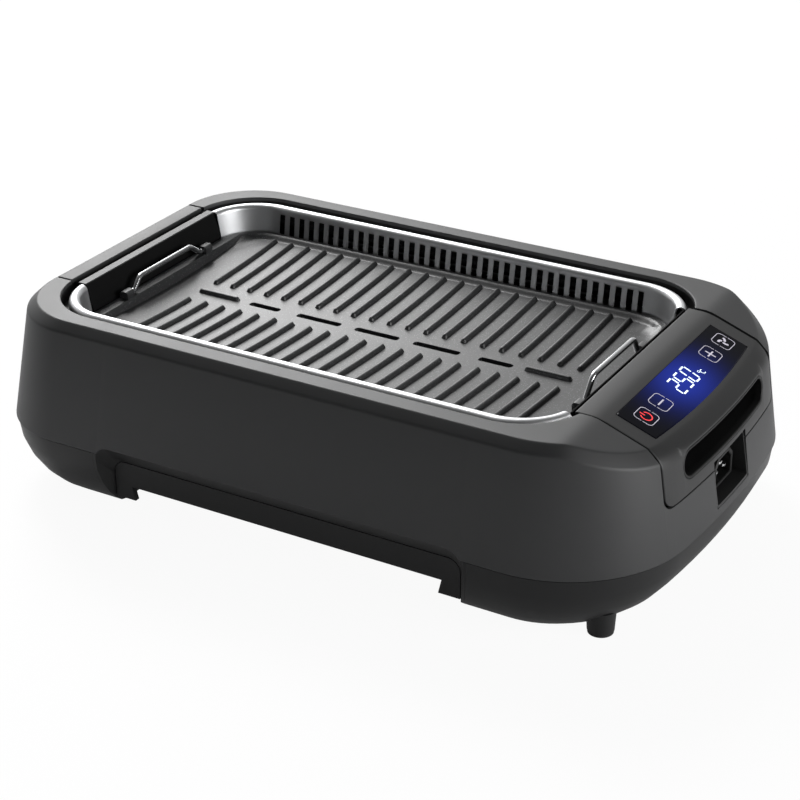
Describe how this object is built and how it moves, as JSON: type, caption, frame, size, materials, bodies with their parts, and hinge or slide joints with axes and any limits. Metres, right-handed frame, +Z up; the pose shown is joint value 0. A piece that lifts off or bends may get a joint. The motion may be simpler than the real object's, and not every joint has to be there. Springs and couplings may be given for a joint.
{
  "type": "smokeless grill",
  "caption": "Low rounded tabletop grill with a ribbed lift-off plate, a bright inner liner with intake slots, a sloped touch panel, hand grips and a slide-out drip drawer.",
  "frame": {"origin": "bottom centre of the bounding box, on the table under the feet", "axes": "+X points to the control end, +Y to the back where the liner has its slots, +Z up"},
  "size_m": [0.528, 0.32, 0.142],
  "materials": {
    "housing_plastic": "fine matt texture",
    "base_plastic": "fine matt texture",
    "black_plastic": "matt",
    "grey_trim": "satin",
    "liner_steel": "polished",
    "sheet_steel": "brushed",
    "nonstick_coat": "speckled non-stick, satin",
    "wire_steel": "polished",
    "panel_glass": "black glass, gloss",
    "display_blue": "lit blue",
    "board_green": "solder mask",
    "component_black": "matt",
    "rubber": "matt",
    "ceramic": "glazed",
    "brass": "plain",
    "wire_red": "insulation",
    "tray_steel": "dark enamel"
  },
  "bodies": {
    "grill_body": {"upper_housing": "housing_plastic", "liner_seat": "black_plastic", "lower_base": "base_plastic", "drawer_frame": "base_plastic", "support_feet": "base_plastic", "foot_pads": "rubber", "metal_liner": "liner_steel", "control_cover": "housing_plastic", "left_handle_cover": "housing_plastic", "left_heat_panel": "black_plastic", "right_heat_panel": "black_plastic", "left_panel_trim": "grey_trim", "right_grip_recess": "black_plastic", "left_grip_recess": "black_plastic", "touch_glass": "panel_glass", "display_module": "display_blue", "control_board": "board_green", "board_standoffs": "black_plastic", "inlet_surround": "black_plastic", "power_inlet": "component_black", "inlet_pins": "wire_steel", "inlet_screws": "sheet_steel", "power_board": "board_green", "power_components": "component_black", "supply_wires": "wire_red", "element_wires": "wire_red", "ribbon_cable": "grey_trim", "heat_reflector": "sheet_steel", "heating_element": "sheet_steel", "element_supports": "sheet_steel", "terminal_blocks": "ceramic", "temperature_sensor": "sheet_steel", "thermal_fuse": "ceramic", "fan_duct": "sheet_steel", "fan_bearing": "brass", "fan_motor": "sheet_steel", "motor_screws": "sheet_steel", "tray_rails": "base_plastic", "housing_screws": "sheet_steel"},
    "fan_rotor": {"fan_impeller": "black_plastic", "fan_shaft": "sheet_steel"},
    "plate": {"grill_plate": "nonstick_coat", "handle_brackets": "nonstick_coat"},
    "left_handle": {"plate_handle_left": "wire_steel"},
    "right_handle": {"plate_handle_right": "wire_steel"},
    "drawer": {"drip_tray": "tray_steel", "tray_front": "base_plastic"}
  },
  "joints": [
    {"name": "fan_spin", "type": "hinge", "parent": "grill_body", "child": "fan_rotor", "pos_m": [-0.027, 0.1325, 0.097], "axis": [1, 0, 0], "continuous": true},
    {"name": "plate_lift", "type": "slide", "parent": "grill_body", "child": "plate", "axis": [0, 0, 1], "range_m": [0, 0.12]},
    {"name": "left_handle_swing", "type": "hinge", "parent": "plate", "child": "left_handle", "pos_m": [-0.205, 0, 0.1233], "axis": [0, 1, 0], "range_deg": [0, 75]},
    {"name": "right_handle_swing", "type": "hinge", "parent": "plate", "child": "right_handle", "pos_m": [0.17, 0, 0.1233], "axis": [0, -1, 0], "range_deg": [0, 75]},
    {"name": "drawer_slide", "type": "slide", "parent": "grill_body", "child": "drawer", "axis": [0, -1, 0], "range_m": [0, 0.22]}
  ]
}
